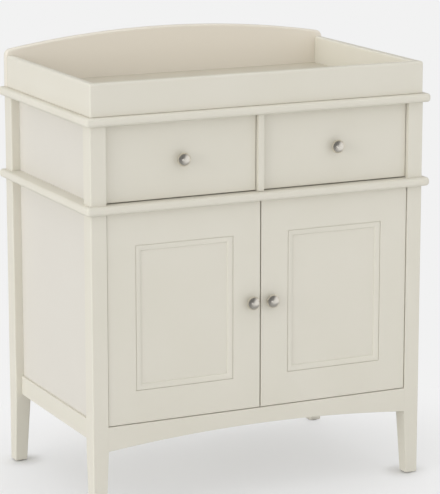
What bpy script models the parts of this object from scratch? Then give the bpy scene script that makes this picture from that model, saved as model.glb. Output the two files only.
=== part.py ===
"""Nursery changing unit with a lift-off changer tray, two drawers and a two-door cupboard.

Metres, +Z up. The unit stands on the floor at Z = 0, its front faces -Y and its middle is at X = 0.
The origin is the middle of the footprint, door knobs included.
"""

import math

import bpy
import bmesh
from mathutils import Vector

# Clearances shared by all pieces
joint_gap = 0.0003             # between pieces that touch
overrun = 0.004                # how far a cutting shape runs past the face it opens

# Carcass
carcass_width = 0.840          # over the outer faces of the posts
carcass_depth = 0.525          # from the front faces of the posts to their rear faces
counter_height = 0.920         # top face of the top panel
waist_height = 0.722           # top face of the waist board
board_thickness = 0.020        # top panel and waist board
board_overhang = 0.0145        # their nosing past the posts, front and sides
nose_radius = 0.0075           # upper and lower edges of the nosing
nose_corner_radius = 0.009     # front corners of the nosing, seen from above
post_width = 0.038             # across the front
post_depth = 0.042             # front to back
foot_width = 0.031             # bottom of the tapered leg
foot_depth = 0.031
post_edge_radius = 0.003
side_panel_recess = 0.021      # side panels behind the posts' outer faces
side_rail_recess = 0.015       # side bottom rails behind the posts' outer faces
side_rail_bottom = 0.1715
side_rail_height = 0.046
board_edge_radius = 0.0015     # eased edges of plain boards
apron_top = 0.213
apron_end_depth = 0.057        # where the apron meets the legs
apron_rise = 0.020             # lift of the arched lower edge at the middle
apron_thickness = 0.022
floor_thickness = 0.018
back_thickness = 0.006
back_inset = 0.014             # back panel in front of the posts' rear faces
partition_thickness = 0.015
partition_setback = 0.0005
shelf_thickness = 0.015
shelf_height = 0.441           # underside of the inner shelf
shelf_setback = 0.046          # clears the swing of the doors' hinge edges
shelf_side_gap = 0.001
batten_width = 0.015           # shelf battens on the side panels
batten_height = 0.020
batten_setback = 0.015         # behind the shelf's front edge

# Drawers
drawer_recess = 0.012          # fronts behind the posts' front faces
drawer_front_thickness = 0.018
drawer_reveal = 0.0015         # gap over and beside each front
drawer_foot_gap = 0.0025       # gap under each front
drawer_box_length = 0.440
drawer_box_drop = 0.034        # below the top panel
drawer_box_lift = 0.009        # above the waist board
drawer_side_gap = 0.0015       # beside the drawer box
drawer_side_thickness = 0.013
drawer_bottom_thickness = 0.005
drawer_groove_depth = 0.005    # holds the bottom in the sides
drawer_groove_lift = 0.010
runner_groove_depth = 0.0065   # holds the runner in the drawer side
runner_groove_lift = 0.060     # underside of the groove above the drawer side's lower edge
runner_play = 0.0005           # between the runner and the bottom of its groove
runner_height = 0.018
runner_length = 0.425
runner_setback = 0.004         # behind the drawer front

# Doors
door_recess = 0.003            # behind the posts' front faces
door_thickness = 0.018
door_gap = 0.003               # between the two doors
hinge_gap = 0.0017             # between each door and its post
door_reveal = 0.0015           # over and under each door
stile_width = 0.068
rail_width = 0.075
panel_depth = 0.0045           # panel face behind the frame's face
panel_thickness = 0.006
bead_width = 0.014
bead_drop = 0.0006             # highest point of the bead behind the frame's face
bead_toe = 0.0006              # thickness of the bead's thin inner edge
quirk_width = 0.0014           # groove between frame and bead
quirk_depth = 0.0018
pivot_inset = 0.020            # pivot axis from the door's hinge edge
pivot_setback = 0.007          # pivot axis behind the door's face
pivot_radius = 0.003
pivot_depth = 0.014            # pin in the door
pivot_reach = 0.010            # pin in the apron or the waist board
strike_width = 0.016
strike_height = 0.012
strike_sheet = 0.001
strike_inset = 0.006           # from the door's free edge
catch_depth = 0.015
catch_height = 0.016
catch_overlap = 0.002          # catch past the outer edge of each strike plate

# Knobs, all alike
knob_radius = 0.016
knob_projection = 0.026
knob_base_radius = 0.0085
knob_base_height = 0.0025
knob_neck_radius = 0.0058
knob_neck_height = 0.0105      # from the door's face to where the head starts
knob_rim_height = 0.0165       # height of the widest part
knob_screw_radius = 0.002
knob_screw_head_radius = 0.0042
knob_screw_head_height = 0.0024
door_knob_inset = 0.0235       # from the door's free edge
door_knob_height = 0.466       # above the floor

# Changer tray
tray_board = 0.018
tray_height = 0.075            # front and side rails, above the top panel
tray_back_end_height = 0.0875  # ends of the arched back rail, above the top panel
tray_back_middle_height = 0.1235
tray_shoulder_radius = 0.014
tray_top_radius = 0.0055       # rounded upper edges
tray_corner_radius = 0.004     # outer front corners, seen from above
tray_base_thickness = 0.009
peg_radius = 0.004
peg_drop = 0.009               # below the tray, in the top panel
peg_root = 0.004               # embedded in the side rail
peg_clearance = 0.0005
peg_end_distance = 0.080       # from the front and the rear of the tray

# Counts of facets
round_sides = 24
knob_sides = 28
small_sides = 16
arc_steps = 24
nose_steps = 4
edge_steps = 2
shoulder_steps = 4

# Planes that the pieces share
half_width = carcass_width / 2
inner_half = half_width - post_width
knob_reach = knob_projection - door_recess
front = -(carcass_depth - knob_reach) / 2
rear = front + carcass_depth
counter_underside = counter_height - board_thickness
waist_underside = waist_height - board_thickness
side_rail_top = side_rail_bottom + side_rail_height
back_face = rear - back_inset - back_thickness
leg_top = apron_top - apron_end_depth
door_face = front + door_recess
door_back = door_face + door_thickness
door_bottom = apron_top + door_reveal
door_top = waist_underside - door_reveal
door_free = door_gap / 2
door_hinged = inner_half - hinge_gap
pivot_distance = door_hinged - pivot_inset
pivot_plane = door_face + pivot_setback
drawer_face = front + drawer_recess
drawer_inside = drawer_face + drawer_front_thickness
tray_seat = counter_height + joint_gap

left, right = -1, 1


def new_material(name, colour, roughness, metallic=0.0):
    """A plain principled material with a linear base colour."""
    material = bpy.data.materials.new(name)
    material.use_nodes = True
    shader = material.node_tree.nodes["Principled BSDF"]
    shader.inputs["Base Color"].default_value = (*colour, 1.0)
    shader.inputs["Roughness"].default_value = roughness
    shader.inputs["Metallic"].default_value = metallic
    material.diffuse_color = (*colour, 1.0)
    return material


def clear_scene():
    for thing in list(bpy.data.objects):
        bpy.data.objects.remove(thing, do_unlink=True)


def add_joint_empty(name, place):
    """An empty on a joint's axis, which carries the pieces that the joint moves."""
    empty = bpy.data.objects.new(name, None)
    empty.location = place
    bpy.context.collection.objects.link(empty)
    return empty


def finish(name, shape, material=None, parent=None, smooth=None):
    """Turns a bmesh in world coordinates into an object whose origin is its middle or its joint."""
    bmesh.ops.recalc_face_normals(shape, faces=shape.faces)
    lows = Vector([min(v.co[i] for v in shape.verts) for i in range(3)])
    highs = Vector([max(v.co[i] for v in shape.verts) for i in range(3)])
    origin = (lows + highs) / 2
    bmesh.ops.translate(shape, vec=-origin, verts=shape.verts)
    mesh = bpy.data.meshes.new(name)
    shape.to_mesh(mesh)
    shape.free()
    piece = bpy.data.objects.new(name, mesh)
    bpy.context.collection.objects.link(piece)
    if material:
        mesh.materials.append(material)
    if smooth:
        mesh.shade_smooth()
        mesh.set_sharp_from_angle(angle=smooth)
    piece.location = origin
    if parent:
        piece.parent = parent
        piece.location = origin - parent.location
    return piece


def round_edges(piece, radius, steps=edge_steps):
    """Rounds all edges of a piece with a bevel."""
    bevel = piece.modifiers.new("Rounded edges", "BEVEL")
    bevel.width = radius
    bevel.segments = steps
    bevel.limit_method = "ANGLE"
    return piece


def combine(piece, shape, operation="DIFFERENCE"):
    """Cuts a shape out of a piece, or unites the two; the shape is a bmesh in world coordinates."""
    cutter = finish(piece.name + " cutter", shape, parent=piece.parent)
    cutter.hide_render = True
    cutter.display_type = "WIRE"
    change = piece.modifiers.new(operation.capitalize(), "BOOLEAN")
    change.operation = operation
    change.object = cutter


def bevel_edges(shape, edges, radius, steps):
    """Rounds the given edges of a bmesh."""
    bmesh.ops.bevel(shape, geom=edges, offset=radius, segments=steps, profile=0.5,
                    affect="EDGES", clamp_overlap=True)


def box(low, high):
    """A box between two corners."""
    low, high = Vector(low), Vector(high)
    shape = bmesh.new()
    bmesh.ops.create_cube(shape, size=1.0)
    bmesh.ops.scale(shape, vec=high - low, verts=shape.verts)
    bmesh.ops.translate(shape, vec=(low + high) / 2, verts=shape.verts)
    return shape


def loft(rings):
    """A closed skin through rings of equal point counts, with a flat face on each end."""
    shape = bmesh.new()
    rows = [[shape.verts.new(point) for point in ring] for ring in rings]
    count = len(rows[0])
    for row, following in zip(rows, rows[1:]):
        for i in range(count):
            j = (i + 1) % count
            shape.faces.new((row[i], row[j], following[j], following[i]))
    shape.faces.new(rows[0])
    shape.faces.new(rows[-1])
    return shape


def prism(outline, start, end):
    """A prism along Y from an outline of (x, z) points."""
    return loft([[(x, y, z) for x, z in outline] for y in (start, end)])


def turned(profile, centre, axis, direction, sides):
    """Turns a profile of (radius, height) points, which starts and ends at radius 0, about an axis."""
    shape = bmesh.new()
    along = Vector([direction if i == axis else 0 for i in range(3)])
    across = Vector([0, 0, 1]) if axis != 2 else Vector([1, 0, 0])
    third = along.cross(across)
    centre = Vector(centre)
    rows = []
    for radius, height in profile:
        if radius == 0:
            rows.append([shape.verts.new(centre + along * height)])
            continue
        row = []
        for i in range(sides):
            turn = 2 * math.pi * i / sides
            outward = across * math.cos(turn) + third * math.sin(turn)
            row.append(shape.verts.new(centre + outward * radius + along * height))
        rows.append(row)
    for row, following in zip(rows, rows[1:]):
        for i in range(sides):
            j = (i + 1) % sides
            corners = [row[i % len(row)], row[j % len(row)],
                       following[j % len(following)], following[i % len(following)]]
            shape.faces.new(list(dict.fromkeys(corners)))
    return shape


def rod(radius, centre, axis, start, end, sides=round_sides):
    """A round rod along an axis, between two heights measured from the centre."""
    return turned([(0, start), (radius, start), (radius, end), (0, end)], centre, axis, 1, sides)


def span(side, near, far):
    """The X range between two distances from the middle, on one side of it."""
    return sorted((side * near, side * far))


def arc_height(distance, half_span, end_height, middle_height):
    """Height of a circular arc over a span, at a distance from its middle."""
    rise = middle_height - end_height
    radius = (half_span ** 2 + rise ** 2) / (2 * rise)
    return middle_height - radius + math.sqrt(radius ** 2 - distance ** 2)


def nosed_board(name, top, material):
    """A board with a rounded nosing on its front and side edges, flush with the posts at the rear."""
    half = half_width + board_overhang
    shape = box((-half, front - board_overhang, top - board_thickness), (half, rear, top))
    corners = [edge for edge in shape.edges
               if all(v.co.y < rear - overrun for v in edge.verts)
               and edge.verts[0].co.x == edge.verts[1].co.x]
    bevel_edges(shape, corners, nose_corner_radius, nose_steps)
    level = [edge for edge in shape.edges
             if abs(edge.verts[0].co.z - edge.verts[1].co.z) < joint_gap
             and any(v.co.y < rear - joint_gap for v in edge.verts)]
    bevel_edges(shape, level, nose_radius, nose_steps)
    return finish(name, shape, material, smooth=math.radians(35))


def build_boards(paint):
    """The top panel and the waist board, which the posts pass through."""
    top_panel = nosed_board("top_panel", counter_height, paint)
    for x in (-1, 1):
        for y in peg_rows():
            hole_depth = peg_drop + peg_clearance
            combine(top_panel, rod(peg_radius + peg_clearance, (x * peg_distance(), y, counter_height),
                                   2, -hole_depth, overrun, small_sides))
    waist_board = nosed_board("waist_board", waist_height, paint)
    bottom, top = waist_underside - overrun, waist_height + overrun
    for side in (left, right):
        x0, x1 = span(side, inner_half - joint_gap, half_width + joint_gap)
        combine(waist_board, box((x0, front - joint_gap, bottom), (x1, front + post_depth + joint_gap, top)))
        combine(waist_board, box((x0, rear - post_depth - joint_gap, bottom), (x1, rear + overrun, top)))
        pivot = (side * pivot_distance, pivot_plane, waist_underside)
        combine(waist_board, rod(pivot_radius + joint_gap, pivot, 2, -overrun, pivot_reach + joint_gap))
    combine(waist_board, box((-inner_half, back_face - joint_gap, bottom),
                             (inner_half, rear + overrun, top)))


def build_post(name, side, end, paint):
    """A corner post whose leg tapers on its two inner faces below the apron."""
    outer_x = side * half_width
    outer_y = front if end < 0 else rear
    rings = []
    for z, width, depth in ((0, foot_width, foot_depth), (leg_top, post_width, post_depth),
                            (counter_underside - joint_gap, post_width, post_depth)):
        x, y = outer_x - side * width, outer_y - end * depth
        rings.append([(outer_x, outer_y, z), (x, outer_y, z), (x, y, z), (outer_x, y, z)])
    shape = loft(rings)
    upright = [edge for edge in shape.edges if abs(edge.verts[0].co.z - edge.verts[1].co.z) > overrun]
    bevel_edges(shape, upright, post_edge_radius, edge_steps)
    finish(name, shape, paint, smooth=math.radians(40))


def build_sides(paint):
    """Side panels above and below the waist board, and the side bottom rails."""
    y0, y1 = front + post_depth + joint_gap, rear - post_depth - joint_gap
    for side, word in ((left, "left"), (right, "right")):
        x0, x1 = span(side, inner_half, half_width - side_panel_recess)
        finish(word + "_upper_panel", box((x0, y0, waist_height + joint_gap),
                                          (x1, y1, counter_underside - joint_gap)), paint)
        finish(word + "_lower_panel", box((x0, y0, side_rail_top + joint_gap),
                                          (x1, y1, waist_underside - joint_gap)), paint)
        x0, x1 = span(side, inner_half, half_width - side_rail_recess)
        rail = finish(word + "_bottom_rail", box((x0, y0, side_rail_bottom), (x1, y1, side_rail_top)), paint)
        round_edges(rail, board_edge_radius)


def build_apron(paint):
    """The front apron, with an arched lower edge, bored for the lower pivot pins."""
    half = inner_half - joint_gap
    low = apron_top - apron_end_depth
    outline = [(half, apron_top), (-half, apron_top)]
    for i in range(arc_steps + 1):
        x = half * (2 * i / arc_steps - 1)
        outline.append((x, arc_height(x, half, low, low + apron_rise)))
    apron = finish("front_apron", prism(outline, front, front + apron_thickness), paint)
    for side in (left, right):
        pivot = (side * pivot_distance, pivot_plane, apron_top)
        combine(apron, rod(pivot_radius + joint_gap, pivot, 2, -pivot_reach - joint_gap, overrun))


def build_inside(paint, hardboard):
    """Cupboard floor, partition between the drawers, rear rail, back panel and shelf."""
    half = inner_half - joint_gap
    finish("cupboard_floor", box((-half, front + apron_thickness + joint_gap, apron_top - floor_thickness),
                                 (half, back_face - joint_gap, apron_top)), paint)
    finish("drawer_partition", box((-partition_thickness / 2, front + partition_setback,
                                    waist_height + joint_gap),
                                   (partition_thickness / 2, back_face - joint_gap,
                                    counter_underside - joint_gap)), paint)
    finish("rear_bottom_rail", box((-half, back_face, side_rail_bottom), (half, rear, side_rail_top)), paint)
    finish("back_panel", box((-half, back_face, side_rail_top + joint_gap),
                             (half, back_face + back_thickness, counter_underside - joint_gap)), hardboard)
    half = inner_half - shelf_side_gap
    shelf = finish("inner_shelf", box((-half, front + shelf_setback, shelf_height),
                                      (half, back_face - joint_gap, shelf_height + shelf_thickness)), paint)
    round_edges(shelf, board_edge_radius)


def peg_rows():
    return front + peg_end_distance, rear - peg_end_distance


def peg_distance():
    return half_width - tray_board / 2


def runner_bottom():
    """Underside of the drawer runners, inside the grooves of the drawer sides."""
    return waist_height + drawer_box_lift + runner_groove_lift + joint_gap


def build_fittings(wood, plastic):
    """Shelf battens, drawer runners and the door catch."""
    for side, word in ((left, "left"), (right, "right")):
        x0, x1 = span(side, inner_half - joint_gap - batten_width, inner_half - joint_gap)
        top = shelf_height - joint_gap
        batten_front = front + shelf_setback + batten_setback
        finish(word + "_shelf_batten", box((x0, batten_front, top - batten_height),
                                           (x1, back_face - joint_gap, top)), wood)
        reach = drawer_side_gap + runner_groove_depth - runner_play
        start = drawer_inside + runner_setback
        walls = (("inner", partition_thickness / 2 + joint_gap, partition_thickness / 2 + reach),
                 ("outer", inner_half - reach, inner_half - joint_gap))
        for place, near, far in walls:
            x0, x1 = span(side, near, far)
            finish(word + "_drawer_" + place + "_runner",
                   box((x0, start, runner_bottom()),
                       (x1, start + runner_length, runner_bottom() + runner_height)), wood)
    half = door_free + strike_inset + strike_width + catch_overlap
    catch_front = door_back + joint_gap + strike_sheet + joint_gap
    finish("door_catch", box((-half, catch_front, waist_underside - joint_gap - catch_height),
                             (half, catch_front + catch_depth, waist_underside - joint_gap)), plastic)


def knob_profile(thickness):
    """Half outline of a domed knob with its screw, as (radius, distance in front of the face)."""
    head = -thickness - joint_gap
    profile = [(0, head - knob_screw_head_height), (knob_screw_head_radius, head - knob_screw_head_height),
               (knob_screw_head_radius, head), (knob_screw_radius, head), (knob_screw_radius, joint_gap),
               (knob_base_radius, joint_gap), (knob_base_radius, knob_base_height),
               (knob_neck_radius, 2 * knob_base_height), (knob_neck_radius, knob_neck_height)]
    under = knob_rim_height - knob_neck_height
    for i in range(1, 4):
        turn = math.pi / 2 * i / 4
        profile.append((knob_neck_radius + (knob_radius - knob_neck_radius) * math.sin(turn),
                        knob_rim_height - under * math.cos(turn)))
    dome = knob_projection - knob_rim_height
    for i in range(7):
        turn = math.pi / 2 * i / 7
        profile.append((knob_radius * math.cos(turn), knob_rim_height + dome * math.sin(turn)))
    profile.append((0, knob_projection))
    return profile


def build_knob(name, place, thickness, metal, parent):
    """A knob on a front, with the screw that holds it from inside."""
    finish(name, turned(knob_profile(thickness), place, 1, -1, knob_sides), metal, parent,
           smooth=math.radians(50))


def screw_hole(place, thickness):
    return rod(knob_screw_radius + joint_gap, place, 1, -overrun, thickness + overrun, small_sides)


def build_drawer(word, side, paint, hardboard, metal):
    """A drawer: front with its knob, and a box whose sides are grooved for the bottom and the runners."""
    x0, x1 = span(side, partition_thickness / 2, inner_half)
    low, high = waist_height + drawer_foot_gap, counter_underside - drawer_reveal
    middle = (x0 + x1) / 2
    centre = (middle, drawer_face, (low + high) / 2)
    carrier = add_joint_empty(word + " drawer slide", centre)
    panel = finish(word + "_drawer_front", box((x0 + drawer_reveal, drawer_face, low),
                                               (x1 - drawer_reveal, drawer_inside, high)), paint, carrier)
    round_edges(panel, board_edge_radius)
    combine(panel, screw_hole(centre, drawer_front_thickness))
    build_knob(word + "_drawer_knob", centre, drawer_front_thickness, metal, carrier)

    half = (x1 - x0) / 2 - drawer_side_gap
    start = drawer_inside + joint_gap
    end = start + drawer_box_length
    bottom = waist_height + drawer_box_lift
    top = counter_underside - drawer_box_drop
    sheet_low = bottom + drawer_groove_lift
    sheet_high = sheet_low + drawer_bottom_thickness + 2 * joint_gap
    runner_low = runner_bottom() - joint_gap
    runner_high = runner_bottom() + runner_height + joint_gap
    for hand, hand_word in ((left, "left"), (right, "right")):
        outer = middle + hand * half
        inner = outer - hand * drawer_side_thickness
        groove = inner + hand * drawer_groove_depth
        track = outer - hand * runner_groove_depth
        outline = [(outer, bottom), (outer, runner_low), (track, runner_low), (track, runner_high),
                   (outer, runner_high), (outer, top), (inner, top), (inner, sheet_high),
                   (groove, sheet_high), (groove, sheet_low), (inner, sheet_low), (inner, bottom)]
        finish(word + "_drawer_" + hand_word + "_side", prism(outline, start, end), paint, carrier)
    inner = half - drawer_side_thickness
    finish(word + "_drawer_back", box((middle - inner + joint_gap, end - drawer_side_thickness, sheet_high),
                                      (middle + inner - joint_gap, end, top)), paint, carrier)
    reach = inner + drawer_groove_depth - joint_gap
    finish(word + "_drawer_bottom", box((middle - reach, start, sheet_low + joint_gap),
                                        (middle + reach, end, sheet_high - joint_gap)), hardboard, carrier)


def panel_section():
    """Section of a beaded door panel, from back to front, as (inset from the frame, depth behind it)."""
    section = [(joint_gap, panel_depth + panel_thickness), (joint_gap, quirk_depth)]
    section.append((quirk_width, quirk_depth))
    width = bead_width - quirk_width
    drop = panel_depth - bead_toe - bead_drop
    for i in range(5):
        turn = math.pi / 2 * i / 4
        section.append((quirk_width + width * math.sin(turn),
                        panel_depth - bead_toe - drop * math.cos(turn)))
    section.append((bead_width, panel_depth))
    return section


def eased_door_board(low, high):
    """A stile or rail, with its edges eased only where they lie on the door's outline."""
    def on_outline(edge):
        a, b = (vert.co for vert in edge.verts)
        if abs(a.z - b.z) > overrun:
            return min(abs(abs(a.x) - rim) for rim in (door_free, door_hinged)) < joint_gap
        if abs(a.x - b.x) > overrun:
            return min(abs(a.z - rim) for rim in (door_bottom, door_top)) < joint_gap
        return False
    shape = box(low, high)
    rim = [edge for edge in shape.edges if on_outline(edge)]
    bevel_edges(shape, rim, board_edge_radius, edge_steps)
    return shape


def build_door(word, side, paint, steel, metal):
    """A framed door with a recessed, beaded panel, a knob, pivot pins and a strike plate."""
    axis = Vector((side * pivot_distance, pivot_plane, (door_bottom + door_top) / 2))
    carrier = add_joint_empty(word + " door pivot", axis)
    knob_place = (side * (door_free + door_knob_inset), door_face, door_knob_height)
    stiles = {}
    for stile_word, edge in (("meeting", door_free), ("hinge", door_hinged - stile_width)):
        x0, x1 = span(side, edge, edge + stile_width)
        shape = eased_door_board((x0, door_face, door_bottom), (x1, door_back, door_top))
        stiles[stile_word] = finish(word + "_door_" + stile_word + "_stile", shape, paint, carrier)
    combine(stiles["meeting"], screw_hole(knob_place, door_thickness))
    build_knob(word + "_door_knob", knob_place, door_thickness, metal, carrier)
    for pin_word, z, direction in (("lower", door_bottom, 1), ("upper", door_top, -1)):
        ends = sorted((-direction * overrun, direction * (pivot_depth + joint_gap)))
        combine(stiles["hinge"], rod(pivot_radius + joint_gap, (axis.x, axis.y, z), 2, *ends))
        ends = sorted((-direction * (door_reveal + pivot_reach), direction * pivot_depth))
        finish(word + "_door_" + pin_word + "_pin", rod(pivot_radius, (axis.x, axis.y, z), 2, *ends),
               steel, carrier, smooth=math.radians(40))

    x0, x1 = span(side, door_free + stile_width + joint_gap, door_hinged - stile_width - joint_gap)
    z0, z1 = door_bottom + rail_width, door_top - rail_width
    for rail_word, z in (("bottom", door_bottom), ("top", z1)):
        shape = eased_door_board((x0, door_face, z), (x1, door_back, z + rail_width))
        finish(word + "_door_" + rail_word + "_rail", shape, paint, carrier)
    rings = []
    for inset, depth in panel_section():
        y = door_face + depth
        rings.append([(x0 + inset - joint_gap, y, z0 + inset), (x1 - inset + joint_gap, y, z0 + inset),
                      (x1 - inset + joint_gap, y, z1 - inset), (x0 + inset - joint_gap, y, z1 - inset)])
    finish(word + "_door_panel", loft(rings), paint, carrier, smooth=math.radians(30))

    x0, x1 = span(side, door_free + strike_inset, door_free + strike_inset + strike_width)
    plate_top = waist_underside - joint_gap - (catch_height - strike_height) / 2
    finish(word + "_door_strike", box((x0, door_back + joint_gap, plate_top - strike_height),
                                      (x1, door_back + joint_gap + strike_sheet, plate_top)), steel, carrier)


def rail_section(height):
    """Cross-section of a tray rail as (distance from its outer face, height), rounded on top."""
    section = [(0, tray_seat)]
    for centre, start in ((tray_top_radius, 0), (tray_board - tray_top_radius, 1)):
        for i in range(edge_steps + 2):
            turn = math.pi / 2 * (start + i / (edge_steps + 1))
            section.append((centre - tray_top_radius * math.cos(turn),
                            height - tray_top_radius + tray_top_radius * math.sin(turn)))
    section.append((tray_board, tray_seat))
    return section


def corner_plan(inset, turn):
    """Distances in from the two outer faces at a rounded corner, for a point set in from the face."""
    if inset >= tray_corner_radius:
        return inset, inset
    reach = tray_corner_radius - inset
    return (tray_corner_radius - reach * math.sin(turn), tray_corner_radius - reach * math.cos(turn))


def corner_rings(section, place):
    """Rings of a rail's mitred corner, from the mitre's tip to where the rounding ends."""
    rings = []
    for i in range(edge_steps, -1, -1):
        turn = math.pi / 4 * i / edge_steps
        ring = []
        for inset, z in section:
            along, across = corner_plan(inset, turn)
            if i == 0:
                along = max(along, tray_corner_radius)
            ring.append(place(along, across, z))
        rings.append(ring)
    return rings


def arched_outline(drop):
    """Outline of the arched back rail, with its rounded shoulders, its top lowered by a drop."""
    end_height = counter_height + tray_back_end_height - drop
    middle_height = counter_height + tray_back_middle_height - drop
    shoulder = []
    for i in range(shoulder_steps):
        turn = math.pi / 2 * i / shoulder_steps
        x = half_width - tray_shoulder_radius * (1 - math.cos(turn))
        z = arc_height(x, half_width, end_height, middle_height)
        shoulder.append((x, z - tray_shoulder_radius * (1 - math.sin(turn))))
    outline = [(half_width, tray_seat), (-half_width, tray_seat)]
    outline += [(-x, z) for x, z in shoulder]
    straight = half_width - tray_shoulder_radius
    for i in range(arc_steps + 1):
        x = straight * (2 * i / arc_steps - 1)
        outline.append((x, arc_height(x, half_width, end_height, middle_height)))
    return outline + shoulder[::-1]


def build_tray(paint):
    """The lift-off changer: mitred front corners, side rails with locating pegs, arched back, base."""
    carrier = add_joint_empty("changer lift", (0, (front + rear) / 2, counter_height))
    section = rail_section(counter_height + tray_height)

    left_end = corner_rings(section, lambda along, across, z: (along - half_width, front + across, z))
    right_end = corner_rings(section, lambda along, across, z: (half_width - along, front + across, z))
    shape = loft(left_end + right_end[::-1])
    finish("changer_front_rail", shape, paint, carrier, smooth=math.radians(40))

    end = rear - tray_board - joint_gap
    for side, word in ((left, "left"), (right, "right")):
        start = front + 2 * joint_gap
        rings = corner_rings(section, lambda along, across, z: (side * (half_width - across),
                                                                start + along, z))
        rings.append([(side * (half_width - inset), end, z) for inset, z in section])
        rail = finish("changer_" + word + "_rail", loft(rings), paint, carrier, smooth=math.radians(40))
        for y in peg_rows():
            combine(rail, rod(peg_radius, (side * peg_distance(), y, tray_seat), 2,
                              -peg_drop - joint_gap, peg_root, small_sides), "UNION")

    rings = []
    for face, inward in ((rear - tray_board, 1), (rear, -1)):
        side_rings = []
        for i in range(edge_steps + 2):
            turn = math.pi / 2 * i / (edge_steps + 1)
            y = face + inward * tray_top_radius * (1 - math.cos(turn))
            outline = arched_outline(tray_top_radius * (1 - math.sin(turn)))
            side_rings.append([(x, y, z) for x, z in outline])
        rings += side_rings[::inward]
    finish("changer_back_rail", loft(rings), paint, carrier, smooth=math.radians(40))

    base_half = half_width - tray_board - joint_gap
    finish("changer_base", box((-base_half, front + tray_board + joint_gap, tray_seat),
                               (base_half, rear - tray_board - joint_gap,
                                tray_seat + tray_base_thickness)), paint, carrier)


def build():
    clear_scene()
    paint = new_material("Cream paint", (0.68, 0.65, 0.55), 0.42)
    hardboard = new_material("Painted hardboard", (0.72, 0.69, 0.60), 0.60)
    metal = new_material("Brushed nickel", (0.45, 0.43, 0.40), 0.32, 1.0)
    steel = new_material("Zinc-plated steel", (0.60, 0.61, 0.62), 0.35, 1.0)
    plastic = new_material("White plastic", (0.80, 0.80, 0.78), 0.45)
    wood = new_material("Plain beech", (0.56, 0.38, 0.22), 0.60)

    build_boards(paint)
    for side, side_word in ((left, "left"), (right, "right")):
        for end, end_word in ((-1, "front"), (1, "rear")):
            build_post(end_word + "_" + side_word + "_post", side, end, paint)
    build_sides(paint)
    build_apron(paint)
    build_inside(paint, hardboard)
    build_fittings(wood, plastic)
    for side, word in ((left, "left"), (right, "right")):
        build_drawer(word, side, paint, hardboard, metal)
        build_door(word, side, paint, steel, metal)
    build_tray(paint)


build()
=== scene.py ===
"""Visual model of a nursery changing unit: a cream painted cabinet with two drawers over two doors,
and a changer tray that lifts off its top. Metres, +Z up, front towards -Y, as in the frame."""

import bmesh
import bpy
import numpy as np
from bpy.props import FloatProperty, FloatVectorProperty, PointerProperty
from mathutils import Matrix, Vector


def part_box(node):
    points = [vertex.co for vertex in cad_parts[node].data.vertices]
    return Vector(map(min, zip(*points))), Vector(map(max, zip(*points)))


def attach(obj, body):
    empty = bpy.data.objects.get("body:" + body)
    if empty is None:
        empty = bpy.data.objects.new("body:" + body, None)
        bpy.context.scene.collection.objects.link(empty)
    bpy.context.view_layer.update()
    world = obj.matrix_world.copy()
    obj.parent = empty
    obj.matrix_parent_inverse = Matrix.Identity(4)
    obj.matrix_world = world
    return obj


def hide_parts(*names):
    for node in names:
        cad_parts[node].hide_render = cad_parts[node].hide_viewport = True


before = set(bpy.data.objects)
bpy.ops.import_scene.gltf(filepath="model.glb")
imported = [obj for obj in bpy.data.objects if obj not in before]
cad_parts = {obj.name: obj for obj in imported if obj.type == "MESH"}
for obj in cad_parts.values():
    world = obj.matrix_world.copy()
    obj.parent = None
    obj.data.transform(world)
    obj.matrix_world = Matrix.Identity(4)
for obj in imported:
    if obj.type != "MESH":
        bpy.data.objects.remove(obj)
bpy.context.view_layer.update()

bl_info = {
    "name": "Changing Unit Visual Model",
    "version": (1, 0, 0),
    "blender": (4, 5, 0),
    "location": "3D View > Sidebar > Changing Unit",
    "description": "Dresses the packed changing unit with detailed pieces, finishes and a studio",
    "category": "Object",
}

left, right = -1, 1
hands = ((left, "left"), (right, "right"))
millimetre = 0.001
arc_steps = 6                 # facets in a quarter round
turned_sides = 64             # facets round a turned piece
small_sides = 24
arch_steps = 40
clearance = 0.0003            # between pieces that touch
overrun = 0.004               # how far a cutting shape runs past the face that it opens
weld_distance = 0.000004
sharp_angle = np.radians(32)


def place(node):
    """Lowest and highest corner of a CAD node, as two rows of an array."""
    return np.array([corner[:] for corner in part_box(node)])


def linear(hex_colour):
    """Linear RGBA of an opaque sRGB hex colour."""
    srgb = np.array([int(hex_colour[i:i + 2], 16) for i in (1, 3, 5)]) / 255
    return *np.where(srgb <= 0.04045, srgb / 12.92, ((srgb + 0.055) / 1.055) ** 2.4).tolist(), 1.0


def length(name, description, default):
    """A length that a user may change."""
    return FloatProperty(name=name, description=description, default=default, min=0.0,
                         precision=5, subtype="DISTANCE", unit="LENGTH")


def colour(name, description, hex_colour):
    """A colour that a user may change."""
    return FloatVectorProperty(name=name, description=description, size=4, min=0.0, max=1.0,
                               subtype="COLOR", default=linear(hex_colour))


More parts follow.
